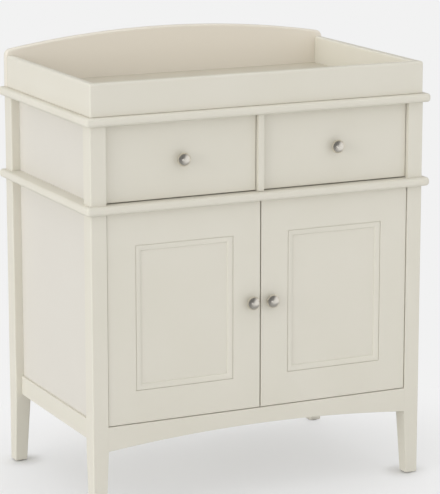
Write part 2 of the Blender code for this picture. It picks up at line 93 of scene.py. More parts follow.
class ChangingUnitSizes(bpy.types.PropertyGroup):
    nose_radius: length("Nosing radius", "Upper and lower edge of the two boards' nosing", 0.0075)
    nose_corner: length("Nosing corner", "Front corners of the boards, seen from above", 0.009)
    post_edge: length("Post edge", "Rounding on the outer edges of the posts", 0.003)
    board_edge: length("Board edge", "Easing on rails and the shelf", 0.0015)
    front_edge: length("Front edge", "Easing on drawer fronts and door frames", 0.0008)
    fine_edge: length("Fine edge", "Easing where two pieces meet flush", 0.0005)
    tray_top: length("Tray top edge", "Rounding along the top of the changer tray", 0.0055)
    tray_foot: length("Tray lower edge", "Rounding where the tray meets the top panel", 0.0014)
    tray_corner: length("Tray corner", "Outer front corners of the tray, seen from above", 0.004)
    tray_shoulder: length("Tray shoulder", "Rounding at the ends of the arched back rail", 0.014)
    tray_arch: length("Tray arch", "Rise of the back rail from its ends to its middle", 0.036)
    apron_arch: length("Apron arch", "Rise of the apron's lower edge at its middle", 0.020)
    apron_end: length("Apron end", "Height of the apron where it meets a leg", 0.057)
    foot_width: length("Foot width", "Bottom of each tapered leg, both ways", 0.031)
    glide_height: length("Glide height", "Nylon glide under each foot", 0.003)
    glide_radius: length("Glide radius", "Nylon glide under each foot", 0.0125)
    panel_recess: length("Panel recess", "Door panel behind the face of its frame", 0.0045)
    bead_width: length("Bead width", "Bead round each door panel", 0.014)
    bead_drop: length("Bead drop", "Highest point of the bead behind the frame's face", 0.0006)
    bead_toe: length("Bead toe", "Thickness of the bead's inner edge", 0.0006)
    quirk_width: length("Quirk width", "Groove between the frame and the bead", 0.0014)
    quirk_depth: length("Quirk depth", "Groove between the frame and the bead", 0.0018)
    knob_base: length("Knob base", "Radius of the knob where it sits on the front", 0.0085)
    knob_neck: length("Knob neck", "Radius of the knob's neck", 0.0058)


class ChangingUnitFinishes(bpy.types.PropertyGroup):
    cream: colour("Cream paint", "Satin paint on all the woodwork", "#DFDBCF")
    cream_side: colour("Cream paint, sides", "Side panels, a little greyer", "#D9D5CC")
    # Painted light: the arched rail's inner face is painted paler than the rest of the woodwork.
    # The paler tone stands in for light that this face misses; it is not a paler paint.
    cream_back_painted_light: colour("Cream paint, arched rail", "Inner face, the palest woodwork", "#EAE3D6")
    # Painted shade: the tray's base is painted darker than the rails. The darker tone makes the
    # strip seen above the front rail read as the shade at the bottom of the tray; it is not thin
    # paint.
    cream_base_painted_shade: colour("Cream paint, tray base", "The tray's base, thinly painted", "#CBC5B5")
    cream_low: colour("Cream paint, thin", "The same paint where it lies thinnest", "#DAD6C8")
    hardboard: colour("Painted hardboard", "Back panel and drawer bottoms", "#DDD8CA")
    nickel: colour("Brushed nickel", "Knobs", "#E8E3D9")
    zinc: colour("Zinc-plated steel", "Pins, plates and screws", "#B7BABD")
    nylon: colour("White plastic", "Door catch", "#E9E8E2")
    # The glides' grey is partly their own plastic and partly painted shade: it also gives the dark
    # band where each foot meets the floor.
    glide: colour("Grey plastic", "Foot glides", "#B5B3AC")
    beech: colour("Beech", "Runners, battens and pegs", "#D3AE80")
    beech_ray: colour("Beech rays", "Short darker flecks in the beech", "#B88A5C")
    floor: colour("Floor", "Studio floor and background", "#F2F2F2")


def rounded_outline(corners, radii=0.0, insets=0.0):
    """A closed outline of flat corners that run counter-clockwise. Every edge moves inwards by its
    own inset, and a corner goes to where its two moved edges cross. Each corner then becomes an arc
    about the point one radius inside both edges: centre + (sin((1 - t) w) u + sin(t w) v) / sin w,
    where u and v run from the centre to the arc's two ends and w is the angle between them."""
    corners = np.asarray(corners, float)
    radii = np.broadcast_to(radii, len(corners))
    insets = np.broadcast_to(insets, len(corners))
    onward = np.roll(corners, -1, 0) - corners
    onward = onward / np.linalg.norm(onward, axis=1, keepdims=True)
    backward = -np.roll(onward, 1, 0)
    inward = np.stack([-onward[:, 1], onward[:, 0]], 1)
    both_inward = np.stack([np.roll(inward, 1, 0), inward], 1)
    both_insets = np.stack([np.roll(insets, 1), insets], 1)
    corners = corners + np.linalg.solve(both_inward, both_insets[..., None])[..., 0]
    outward_turn = np.sign(onward[:, 1] * backward[:, 0] - onward[:, 0] * backward[:, 1])
    radii = np.maximum(radii + outward_turn * both_insets.mean(1), 0.0)[:, None]
    cosine = (onward * backward).sum(1, keepdims=True)
    half_sine, half_cosine = np.sqrt((1 - cosine) / 2), np.sqrt((1 + cosine) / 2)
    bisector = (onward + backward) / np.linalg.norm(onward + backward, axis=1, keepdims=True)
    centre = corners + bisector * radii / half_sine
    u = corners + backward * radii * half_cosine / half_sine - centre
    v = corners + onward * radii * half_cosine / half_sine - centre
    w = (np.pi - np.arccos(np.clip(cosine, -1, 1)))[..., None]
    t = np.linspace(0, 1, arc_steps + 1)[None, :, None]
    arcs = (np.sin((1 - t) * w) * u[:, None] + np.sin(t * w) * v[:, None]) / np.sin(w)
    return (centre[:, None] + arcs).reshape(-1, 2)


def stood(outlines, axis, levels):
    """Flat outlines, one for each level, set square to an axis."""
    levels = np.broadcast_to(np.asarray(levels, float)[:, None], outlines.shape[:2])
    return np.insert(outlines, axis, levels, axis=2)


def carried(corners, ends, axis, edge, radii=0.0, eased=1.0):
    """An outline carried along an axis. At the angle a of its rim it stands e (1 - sin a) from the
    end and is drawn in by e (1 - cos a), where e is the edge radius, so that each rim is a quarter
    round. eased is the share of that which each edge of the outline is drawn in by."""
    turns = np.linspace(np.pi / 2, 0, arc_steps + 1)
    depths, draws = edge * (1 - np.sin(turns)), edge * (1 - np.cos(turns))
    levels = np.concatenate([ends[0] + depths, ends[1] - depths[::-1]])
    draws = np.concatenate([draws, draws[::-1]])
    outlines = np.stack([rounded_outline(corners, radii, draw * np.asarray(eased))
                         for draw in draws])
    return stood(outlines, axis, levels)


def rectangle(low, high):
    """Corners of a rectangle, counter-clockwise from its lowest."""
    return np.array([(low[0], low[1]), (high[0], low[1]), (high[0], high[1]), (low[0], high[1])])


def nested(low, high, insets, depths):
    """Upright rectangles in a box: each stands in from the box's outline by its own inset, towards
    the middle on every side, and at its own depth."""
    inward = np.array([(1, 1), (-1, 1), (-1, -1), (1, -1)])
    flat = rectangle(low[[0, 2]], high[[0, 2]])[None] + inward[None] * insets[:, None]
    return stood(flat, 1, depths)


def plank(low, high, edge, axis=0):
    """A straight board between two corners, with all its edges rounded: its end's outline, whose
    corners have the edge radius too, is carried along an axis."""
    low, high = np.asarray(low, float), np.asarray(high, float)
    flat = [i for i in range(3) if i != axis]
    corners = rectangle(low[flat], high[flat])
    return carried(corners, (low[axis], high[axis]), axis, edge, edge)


def turned(profile, centre, axis, direction, sides=turned_sides):
    """A profile of (radius, reach) turned about an axis: centre + reach * along + radius * (cos a *
    across + sin a * third), for angles a all the way round."""
    profile = np.asarray(profile, float)
    along = direction * np.eye(3)[axis]
    across = np.eye(3)[(axis + 1) % 3]
    third = np.cross(along, across)
    turns = np.arange(sides) * 2 * np.pi / sides
    outward = np.cos(turns)[:, None] * across + np.sin(turns)[:, None] * third
    return (np.asarray(centre, float) + profile[:, 1, None, None] * along
            + profile[:, 0, None, None] * outward[None])


def quarter(centre, radius, start, end, steps=arc_steps):
    """Points of an arc about a centre, between two angles in degrees, with one radius or two."""
    turns = np.radians(np.linspace(start, end, steps + 1))
    return np.asarray(centre) + np.stack([np.cos(turns), np.sin(turns)], 1) * radius


def arch(distance, half_span, end_height, middle_height):
    """Height of a circular arc over a span: middle - R + sqrt(R^2 - d^2), where R fits the rise."""
    rise = middle_height - end_height
    radius = (half_span ** 2 + rise ** 2) / (2 * rise)
    return middle_height - radius + np.sqrt(radius ** 2 - distance ** 2)


def skinned(name, rings, joined=False, reach=None):
    """A closed mesh through rings of points: quads join each ring to the next, and either the last
    ring joins the first or a flat face closes each end. An array with one more axis holds separate
    shells. reach, one value for each ring, is kept on the points as the attribute profile_reach."""
    shells = rings if rings.ndim == 4 else rings[None]
    index = np.arange(shells[..., 0].size).reshape(shells.shape[:3])
    lower = index if joined else index[:, :-1]
    upper = np.roll(index, -1, 1) if joined else index[:, 1:]
    quads = np.stack([lower, np.roll(lower, -1, 2), np.roll(upper, -1, 2), upper], -1)
    faces = quads.reshape(-1, 4).tolist()
    if not joined:
        faces += index[:, 0, ::-1].tolist() + index[:, -1].tolist()
    mesh = bpy.data.meshes.new(name)
    mesh.from_pydata(shells.reshape(-1, 3).tolist(), [], faces)
    if reach is not None:
        values = np.broadcast_to(np.asarray(reach, np.float32)[None, :, None], index.shape)
        kept_reach = mesh.attributes.new("profile_reach", "FLOAT", "POINT")
        kept_reach.data.foreach_set("value", values.ravel())
    shape = bmesh.new()
    shape.from_mesh(mesh)
    bmesh.ops.remove_doubles(shape, verts=shape.verts, dist=weld_distance)
    bmesh.ops.recalc_face_normals(shape, faces=shape.faces)
    shape.to_mesh(mesh)
    shape.free()
    return mesh


def scene_object(name, data):
    """A new object in the scene, at the origin."""
    thing = bpy.data.objects.new(name, data)
    bpy.context.collection.objects.link(thing)
    return thing


def opened(mesh, cutters):
    """The mesh with the cutting shapes taken out of it."""
    piece = scene_object("uncut", mesh)
    tools = [scene_object("cutter", skinned("cutter", rings)) for rings in cutters]
    for tool in tools:
        change = piece.modifiers.new("Opening", "BOOLEAN")
        change.object = tool
        change.solver = "EXACT"
    bpy.context.view_layer.update()
    graph = bpy.context.evaluated_depsgraph_get()
    cut = bpy.data.meshes.new_from_object(piece.evaluated_get(graph))
    for used in (piece, *tools):
        bpy.data.objects.remove(used)
    return cut


def fit(name, shape, body, finish, *nodes):
    """Puts a piece, given as its mesh or its rings, on its body, in the place of the CAD nodes that
    it stands for."""
    mesh = skinned(name, shape) if isinstance(shape, np.ndarray) else shape
    mesh.shade_smooth()
    mesh.set_sharp_from_angle(angle=sharp_angle)
    piece = scene_object(name, mesh)
    slot, material = finish_of(finish)
    mesh.materials.clear()
    mesh.materials.append(material)
    even = piece.modifiers.new("Even shading", "WEIGHTED_NORMAL")
    even.keep_sharp = True
    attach(piece, body)
    if nodes:
        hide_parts(*nodes)


def fit_plank(node, ending, edge, axis, finish, body="cabinet"):
    """Fits a straight board with all its edges rounded in the place of a CAD node."""
    fit(f"{node}_{ending}", plank(*place(node), edge, axis), body, finish, node)


def refinish(nodes, finish):
    """Gives CAD nodes whose shape is right their real finish."""
    for node in nodes:
        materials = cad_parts[node].data.materials
        materials.clear()
        materials.append(finish_of(finish)[1])


def per_millimetre(size):
    """Scale of a pattern whose repeat is a size in millimetres, in metres of Object coordinates."""
    return 1.0 / (size * millimetre)


def add(tree, kind, *inputs, **named):
    """Adds one shader node. inputs fill the sockets that its settings leave in use, from the first.
    Of the named values, the capitalised are for sockets, with _ for a space, and the rest are
    settings. A value may be an output, or a node in place of its first output in use."""
    node = tree.nodes.new(f"ShaderNode{kind}")
    for name, value in named.items():
        if name.islower():
            setattr(node, name, value)
    filled = list(zip([socket for socket in node.inputs if socket.enabled], inputs))
    filled += [(node.inputs[name.replace("_", " ")], value)
               for name, value in named.items() if not name.islower()]
    for socket, value in filled:
        if isinstance(value, bpy.types.Node):
            value = next(output for output in value.outputs if output.enabled)
        if isinstance(value, bpy.types.NodeSocket):
            tree.links.new(value, socket)
        else:
            socket.default_value = value
    return node


def started(name):
    """A new material without nodes, and its tree."""
    material = bpy.data.materials.new(name)
    material.use_nodes = True
    material.node_tree.nodes.clear()
    return material, material.node_tree


def coated(material, **looks):
    """The material with one shader on its output, whose sockets are given by name."""
    add(material.node_tree, "OutputMaterial", add(material.node_tree, "BsdfPrincipled", **looks))
    return material


def shade(tone, share):
    """A colour at a share of its strength."""
    return [share * part for part in tone[:3]] + [1.0]


def clouded(tone):
    """The tones of a paint where its coat is thickest and thinnest, to either side of its own."""
    return shade(tone, 1.012), shade(tone, 0.988)


def drawn_out(grain, share):
    """Scale of a pattern that runs along the grain: a share of its scale on that axis."""
    return [share if axis == grain else 1.0 for axis in range(3)]


def painted_wood(name, tones, grain=None, painted_light_face=None):
    """Satin lacquer sprayed on beech or fibreboard and rubbed down between coats. It gives the eye
    an even cream with a soft sheen and a faint orange peel; on solid wood the pores show through as
    fine lines along the grain, which is an axis number. The last argument is painted light: a paler
    tone for a board's front face, standing in for light that face misses, and the y of its two
    faces.
    The tone passes through the edges into the common cream."""
    material, tree = started(name)
    cloud_size, sheen_size, peel_size = 140, 60, 4
    where = add(tree, "TexCoord").outputs["Object"]
    cloud = add(tree, "TexNoise", where, per_millimetre(cloud_size))
    paint = add(tree, "Mix", cloud, *tones, data_type="RGBA")
    # Painted light: the front face gets the paler tone, which fades through the edges into the
    # cream behind.
    if painted_light_face is not None:
        tone, front, rear = painted_light_face
        depth = add(tree, "MapRange", add(tree, "SeparateXYZ", where).outputs["Y"], front, rear)
        paint = add(tree, "Mix", depth, tone, paint, data_type="RGBA")
    sheen = add(tree, "TexNoise", where, per_millimetre(sheen_size))
    # Real orange peel is 1 to 2 mm across; 4 mm is the finest that shows.
    height = add(tree, "TexNoise", where, per_millimetre(peel_size), Detail=1.0)
    if grain is not None:
        # Pores are 0.1 mm wide and some 2 mm long; lines 3 mm apart are the finest that show.
        pore_spacing, pore_length = 3, 100
        along = add(tree, "Mapping", where, Scale=drawn_out(grain, pore_spacing / pore_length))
        pores = add(tree, "TexNoise", along, per_millimetre(pore_spacing), Detail=3.0,
                    Roughness=0.6)
        height = add(tree, "Math", height, pores, operation="ADD")
    return coated(material, Base_Color=paint, IOR=1.5,
                  Roughness=add(tree, "MapRange", sheen, To_Min=0.36, To_Max=0.48),
                  Normal=add(tree, "Bump", Height=height, Distance=0.00004))


def painted_hardboard(name, tone):
    """Standard hardboard, rolled with one coat of paint. It gives the eye a flat cream, duller than
    the lacquer, with the imprint of the press wire, whose threads stand 1.5 mm apart and are drawn
    at 5."""
    material, tree = started(name)
    cloud_size, wire_spacing = 45, 5
    where = add(tree, "TexCoord").outputs["Object"]
    cloud = add(tree, "TexNoise", where, per_millimetre(cloud_size), Detail=4.0)
    # The node's own bands stand 2 pi / 20 apart at a scale of 1.
    scale = per_millimetre(wire_spacing) * 2 * np.pi / 20
    wires = [add(tree, "TexWave", where, scale, Distortion=0.6, bands_direction=way).outputs["Fac"]
             for way in "XZ"]
    imprint = add(tree, "Math", *wires, operation="MULTIPLY")
    paint = add(tree, "Mix", cloud, tone, shade(tone, 0.93), data_type="RGBA")
    return coated(material, Base_Color=paint, Roughness=0.62, IOR=1.5,
                  Normal=add(tree, "Bump", Height=imprint, Distance=0.00006))


def brushed_nickel(name, tone):
    """Zinc alloy plated with nickel and brushed on a lathe. It gives the eye a warm grey metal
    whose fine rings, 0.1 mm apart and drawn at 0.9, blur its reflections."""
    material, tree = started(name)
    ring_spacing = 0.9
    reach = add(tree, "Attribute", attribute_name="profile_reach").outputs["Fac"]
    rings = add(tree, "TexNoise", reach, per_millimetre(ring_spacing), Detail=3.0,
                noise_dimensions="1D")
    return coated(material, Base_Color=tone, Metallic=1.0,
                  Roughness=add(tree, "MapRange", rings, To_Min=0.2, To_Max=0.34),
                  Normal=add(tree, "Bump", Height=rings, Distance=0.00001))


def zinc_plate(name, tone):
    """Mild steel with bright zinc plating. It gives the eye a cool grey metal with small crystals
    of differing brightness, about 3 mm across."""
    material, tree = started(name)
    crystal_size = 3
    where = add(tree, "TexCoord").outputs["Object"]
    crystals = add(tree, "TexVoronoi", where, per_millimetre(crystal_size)).outputs["Color"]
    grey = add(tree, "SeparateColor", crystals)
    plating = add(tree, "Mix", grey, tone, shade(tone, 0.8), data_type="RGBA")
    return coated(material, Base_Color=plating, Metallic=1.0,
                  Roughness=add(tree, "MapRange", grey, To_Min=0.28, To_Max=0.42))


def moulded_nylon(name, tone):
    """Injection moulded nylon with a spark-eroded texture. It gives the eye a milky white with a
    soft sheen and grains of 0.4 mm, drawn at 1."""
    material, tree = started(name)
    cloud_size, grain_size = 12, 1
    where = add(tree, "TexCoord").outputs["Object"]
    cloud = add(tree, "TexNoise", where, per_millimetre(cloud_size))
    grains = add(tree, "TexNoise", where, per_millimetre(grain_size))
    milk = add(tree, "Mix", cloud, tone, shade(tone, 0.96), data_type="RGBA")
    return coated(material, Base_Color=milk, Roughness=0.45, IOR=1.53, Subsurface_Weight=0.08,
                  Subsurface_Radius=(0.003, 0.003, 0.0025),
                  Normal=add(tree, "Bump", Height=grains, Distance=0.00002))


def planed_beech(name, tone, ray, grain):
    """Beech planed and left bare. It gives the eye a matt tan with soft stripes 6 mm apart along
    the grain and short darker rays, 0.3 mm wide and drawn at 1."""
    material, tree = started(name)
    stripe_spacing, stripe_length, stripe_share = 6, 150, 0.45
    ray_width, ray_length = 1, 4
    where = add(tree, "TexCoord").outputs["Object"]
    along = add(tree, "Mapping", where, Scale=drawn_out(grain, stripe_spacing / stripe_length))
    stripes = add(tree, "TexNoise", along, per_millimetre(stripe_spacing), Detail=3.0)
    along = add(tree, "Mapping", where, Scale=drawn_out(grain, ray_width / ray_length))
    flecks = add(tree, "TexNoise", along, per_millimetre(ray_width))
    rays = add(tree, "MapRange", flecks, From_Min=0.58, From_Max=0.72)
    dark = add(tree, "Math", stripes, stripe_share, rays, operation="MULTIPLY_ADD",
               use_clamp=True)
    wood = add(tree, "Mix", dark, tone, ray, data_type="RGBA")
    return coated(material, Base_Color=wood, Roughness=0.58, IOR=1.5,
                  Normal=add(tree, "Bump", Height=flecks, Distance=0.00005))


def finish_of(key):
    """The material slot of a finish, and the finish itself, which is made at its first use."""
    chosen = bpy.context.scene.changing_unit_finishes
    cream, beech = (chosen.cream, chosen.cream_low), (chosen.beech, chosen.beech_ray)
    # Painted light on the arched rail: its inner face is painted paler, for light that face misses.
    arched = (chosen.cream_back_painted_light, *place("changer_back_rail")[:, 1])
    lacquer = "Cream satin lacquer on"
    slot, maker, name, *values = {
        "sprayed": ("cream_paint", painted_wood, f"{lacquer} fibreboard", cream),
        "side": ("cream_paint", painted_wood, f"{lacquer} side panels", clouded(chosen.cream_side)),
        # The base's tone is painted shade: it is darker so that its strip above the front rail
        # reads as the tray's shaded floor.
        "base": ("cream_paint", painted_wood, "Thin cream paint on the tray's base",
                 clouded(chosen.cream_base_painted_shade)),
        "arched": ("cream_paint", painted_wood, f"{lacquer} the arched rail", cream, 0, arched),
        "upright": ("cream_paint", painted_wood, f"{lacquer} upright beech", cream, 2),
        "level": ("cream_paint", painted_wood, f"{lacquer} level beech", cream, 0),
        "deep": ("cream_paint", painted_wood, f"{lacquer} beech laid front to back", cream, 1),
        "hardboard": ("painted_hardboard", painted_hardboard, "Painted hardboard",
                      chosen.hardboard),
        "nickel": ("brushed_nickel", brushed_nickel, "Brushed nickel plate", chosen.nickel),
        "zinc": ("zinc_steel", zinc_plate, "Bright zinc plate", chosen.zinc),
        # The grey glides are partly painted shade, giving the dark band under each foot.
        "glide": ("white_plastic", moulded_nylon, "Moulded grey nylon", chosen.glide),
        "nylon": ("white_plastic", moulded_nylon, "Moulded white nylon", chosen.nylon),
        "beech": ("beech", planed_beech, "Planed beech", *beech, 1),
        "peg": ("beech", planed_beech, "Planed beech dowel", *beech, 2),
    }[key]
    return slot, bpy.data.materials.get(name) or maker(name, *values)


def screw_heads(places, axis, direction, radius=0.0035, height=0.0018):
    """Domed heads with a cross recess, at the given places: a shell for each head, turned from a
    quarter ellipse of (radius, height), cut by two narrow blocks that cross at its middle."""
    sunk, slot_edge = 0.0002, 0.05 * radius
    slot_reach, slot_width, slot_depth = 0.62 * radius, 0.13 * radius, 0.55 * height
    profile = np.vstack([[(0.0, -sunk), (radius, -sunk)], quarter((0, 0), (radius, height), 0, 90)])
    heads = np.stack([turned(profile, spot, axis, direction, small_sides) for spot in places])
    cutters = []
    flat = [i for i in range(3) if i != axis]
    for spot in places:
        centre = np.array(spot, float)
        centre[axis] += direction * height
        for along, across in (flat, flat[::-1]):
            reach = np.zeros(3)
            reach[along], reach[across], reach[axis] = slot_reach, slot_width, slot_depth
            cutters.append(plank(centre - reach, centre + reach, slot_edge, along))
    return opened(skinned("screw heads", heads), cutters)


class CHANGINGUNIT_OT_boards(bpy.types.Operator):
    """Makes the top panel and the waist board with their nosings and openings"""
    bl_idname = "changing_unit.boards"
    bl_label = "Boards"

    def execute(self, context):
        sizes = context.scene.changing_unit_sizes
        corners, nosed = (sizes.nose_corner, sizes.nose_corner, 0.0, 0.0), (1.0, 1.0, 0.0, 1.0)
        for node, openings in (("top_panel", self.peg_holes), ("waist_board", self.notches)):
            low, high = place(node)
            rings = carried(rectangle(low[:2], high[:2]), (low[2], high[2]), 2, sizes.nose_radius,
                            corners, nosed)
            mesh = opened(skinned(node, rings), openings((low[2], high[2])))
            fit(f"{node}_nosed", mesh, "cabinet", "sprayed", node)
        return {"FINISHED"}

    def peg_holes(self, levels):
        """Blind holes for the pegs of the tray."""
        radius, depth = 0.0045, 0.0095
        profile = ((0.0, -depth), (radius, -depth), (radius, overrun), (0.0, overrun))
        return [turned(profile, (side * peg_distance(), y, levels[1]), 2, 1, small_sides)
                for side in (left, right) for y in peg_rows()]

    def notches(self, levels):
        """Openings for the posts, and the slot at the rear for the back panel."""
        boxes = [place(f"{end}_{word}_post") for end in ("front", "rear") for side, word in hands]
        boxes.append(place("back_panel"))
        boxes[-1][1, 1] += 4 * overrun
        around = np.array((clearance, clearance, overrun))
        for box in boxes:
            box[:, 2] = levels
        return [plank(low - around, high + around, clearance / 3, 2) for low, high in boxes]


class CHANGINGUNIT_OT_posts(bpy.types.Operator):
    """Makes the four posts, whose legs taper on their inner faces, and the glides under them"""
    bl_idname = "changing_unit.posts"
    bl_label = "Posts and glides"

    def execute(self, context):
        sizes = context.scene.changing_unit_sizes
        leg_top = place("front_apron")[0, 2]
        lift, chamfer = sizes.glide_height, 0.001
        feet = []
        for end, front_side in (("front", True), ("rear", False)):
            for side, word in hands:
                node = f"{end}_{word}_post"
                low, high = place(node)
                narrow = (high - low)[:2] - sizes.foot_width
                outer = np.array([side < 0, front_side])
                foot = np.array([low[:2] + np.where(outer, 0, narrow),
                                 high[:2] - np.where(outer, narrow, 0)])
                post = (low[:2], high[:2])
                edges = self.corner_radii(sizes, side, front_side)
                rings = np.stack([rounded_outline(rectangle(*plan), edges, draw) for plan, draw in
                                  ((foot, chamfer), (foot, 0.0), (post, 0.0), (post, 0.0))])
                rings = stood(rings, 2, (lift, lift + chamfer, leg_top, high[2]))
                fit(f"{node}_tapered", rings, "cabinet", "upright", node)
                feet.append((*foot.mean(0), 0.0))
        radius, curl = sizes.glide_radius, 0.8 * lift
        profile = np.vstack([[(0.0, 0.0)], quarter((radius - curl, curl), curl, -90, 0),
                             [(radius, lift + chamfer), (0.0, lift + chamfer)]])
        shells = np.stack([turned(profile, spot, 2, 1) for spot in feet])
        fit("foot_glides", shells, "cabinet", "glide")
        return {"FINISHED"}

    def corner_radii(self, sizes, side, front_side):
        """Rounding of a post's four edges, from its lowest corner round: the edge that the apron or
        the back meets flush stays nearly square."""
        radii = np.full(4, sizes.post_edge)
        flush = {(left, True): 1, (right, True): 0, (left, False): 2, (right, False): 3}
        radii[flush[side, front_side]] = sizes.fine_edge
        return radii


class CHANGINGUNIT_OT_rails(bpy.types.Operator):
    """Makes the arched apron and the bottom rails, and paints the side panels"""
    bl_idname = "changing_unit.rails"
    bl_label = "Apron, rails and side panels"

    def execute(self, context):
        sizes = context.scene.changing_unit_sizes
        low, high = place("front_apron")
        low[0], high[0] = place("front_left_post")[1, 0], place("front_right_post")[0, 0]
        half = high[0]
        x = np.linspace(-half, half, arch_steps + 1)
        z = arch(x, half, low[2], low[2] + sizes.apron_arch)
        corners = np.vstack([np.stack([x, z], 1), [(half, high[2]), (-half, high[2])]])
        eased = np.ones(len(corners))
        eased[[-3, -1]] = 0.0     # the two ends, against the legs
        rings = carried(corners, (low[1], high[1]), 1, sizes.board_edge, 0.0, eased)
        fit("front_apron_arched", rings, "cabinet", "level", "front_apron")
        for node, axis, grain in (("left_bottom_rail", 1, "deep"), ("right_bottom_rail", 1, "deep"),
                                  ("rear_bottom_rail", 0, "level")):
            fit_plank(node, "eased", sizes.board_edge, axis, grain)
        for side, word in hands:
            refinish([f"{word}_upper_panel", f"{word}_lower_panel"], "side")
        return {"FINISHED"}


class CHANGINGUNIT_OT_inside(bpy.types.Operator):
    """Makes the shelf, partition, battens, runners and catch, and the back panel's pins"""
    bl_idname = "changing_unit.inside"
    bl_label = "Inside and back"

    def execute(self, context):
        sizes = context.scene.changing_unit_sizes
        for node, axis in (("inner_shelf", 0), ("drawer_partition", 2)):
            fit_plank(node, "eased", sizes.board_edge, axis, "sprayed")
        wooden = [f"{word}_shelf_batten" for side, word in hands]
        wooden += [f"{word}_drawer_{wall}_runner" for side, word in hands
                   for wall in ("inner", "outer")]
        for node in wooden:
            fit_plank(node, "planed", sizes.board_edge / 2, 1, "beech")
        screw_rows = np.array([0.12, 0.5, 0.88])
        for side, word in hands:
            low, high = place(f"{word}_shelf_batten")
            face = low[0] if side > 0 else high[0]
            rows = low[1] + (high[1] - low[1]) * screw_rows
            places = [(face, y, (low[2] + high[2]) / 2) for y in rows]
            fit(f"{word}_batten_screws", screw_heads(places, 0, -side), "cabinet", "zinc")
        refinish(["cupboard_floor"], "sprayed")
        refinish(["back_panel"], "hardboard")
        self.pins()
        self.catch()
        return {"FINISHED"}

    def pins(self):
        """Flat-headed pins round the rim of the back panel, 8 mm in and about 90 mm apart."""
        inset, spacing = 0.008, 0.09
        radius, height, sunk = 0.0022, 0.0006, 0.0003
        low, high = place("back_panel")
        rear = high[1]
        low, high = low + inset, high - inset
        counts = np.round((high - low) / spacing).astype(int) + 1
        across, up = (np.linspace(low[axis], high[axis], counts[axis]) for axis in (0, 2))
        spots = [(x, z) for z in (low[2], high[2]) for x in across]
        spots += [(x, z) for x in (low[0], high[0]) for z in up[1:-1]]
        dome = quarter((0, 0), (radius, height), 0, 90, 3)
        profile = np.vstack([[(0.0, -sunk), (radius, -sunk)], dome])
        shells = np.stack([turned(profile, (x, rear, z), 1, 1, small_sides // 2) for x, z in spots])
        fit("back_panel_pins", shells, "cabinet", "zinc")

    def catch(self):
        """A moulded case for the door catch, with the ends of two poles in front of each strike."""
        case_edge, pole_edge, pole_offset = 0.001, 0.00005, 0.002
        half_pole = np.array([0.0065, 0.0001, 0.0008])
        fit_plank("door_catch", "case", case_edge, 0, "nylon")
        front = place("door_catch")[0, 1]
        plates = []
        for side, word in hands:
            strike = place(f"{word}_door_strike")
            for z in strike[:, 2] + np.array([pole_offset, -pole_offset]):
                spot = np.array([strike[:, 0].mean(), front, z])
                plates.append(plank(spot - half_pole, spot + half_pole, pole_edge))
        fit("door_catch_poles", np.stack(plates), "cabinet", "zinc")


class CHANGINGUNIT_OT_drawers(bpy.types.Operator):
    """Makes both drawers: eased fronts and boxes with grooved sides"""
    bl_idname = "changing_unit.drawers"
    bl_label = "Drawers"

    def execute(self, context):
        sizes = context.scene.changing_unit_sizes
        for side, word in hands:
            body = f"{word}_drawer"
            fit_plank(f"{body}_front", "eased", sizes.front_edge, 1, "sprayed", body)
            fit_plank(f"{body}_back", "eased", sizes.fine_edge, 0, "level", body)
            for hand, hand_word in hands:
                node = f"{body}_{hand_word}_side"
                runner = place(f"{body}_{'inner' if hand != side else 'outer'}_runner")
                rings = self.grooved_side(node, place(f"{body}_bottom"), runner, hand,
                                          sizes.fine_edge)
                fit(f"{node}_grooved", rings, body, "deep", node)
            refinish([f"{body}_bottom"], "hardboard")
        return {"FINISHED"}

    def grooved_side(self, node, sheet, runner, hand, edge):
        """Section of a drawer side, with a groove for the bottom inside and one for the runner
        outside, carried from front to back."""
        low, high = place(node)
        play, slack = 0.0005, np.array([-clearance, clearance])
        inner, outer = (high[0], low[0]) if hand < 0 else (low[0], high[0])
        groove = sheet[0, 0] - clearance if hand < 0 else sheet[1, 0] + clearance
        track = runner[1, 0] + play if hand < 0 else runner[0, 0] - play
        sheet_low, sheet_high = sheet[:, 2] + slack
        track_low, track_high = runner[:, 2] + slack
        corners = [(outer, low[2]), (outer, track_low), (track, track_low), (track, track_high),
                   (outer, track_high), (outer, high[2]), (inner, high[2]), (inner, sheet_high),
                   (groove, sheet_high), (groove, sheet_low), (inner, sheet_low), (inner, low[2])]
        corners = corners if hand > 0 else corners[::-1]
        return carried(corners, (low[1], high[1]), 1, edge, edge / 2)


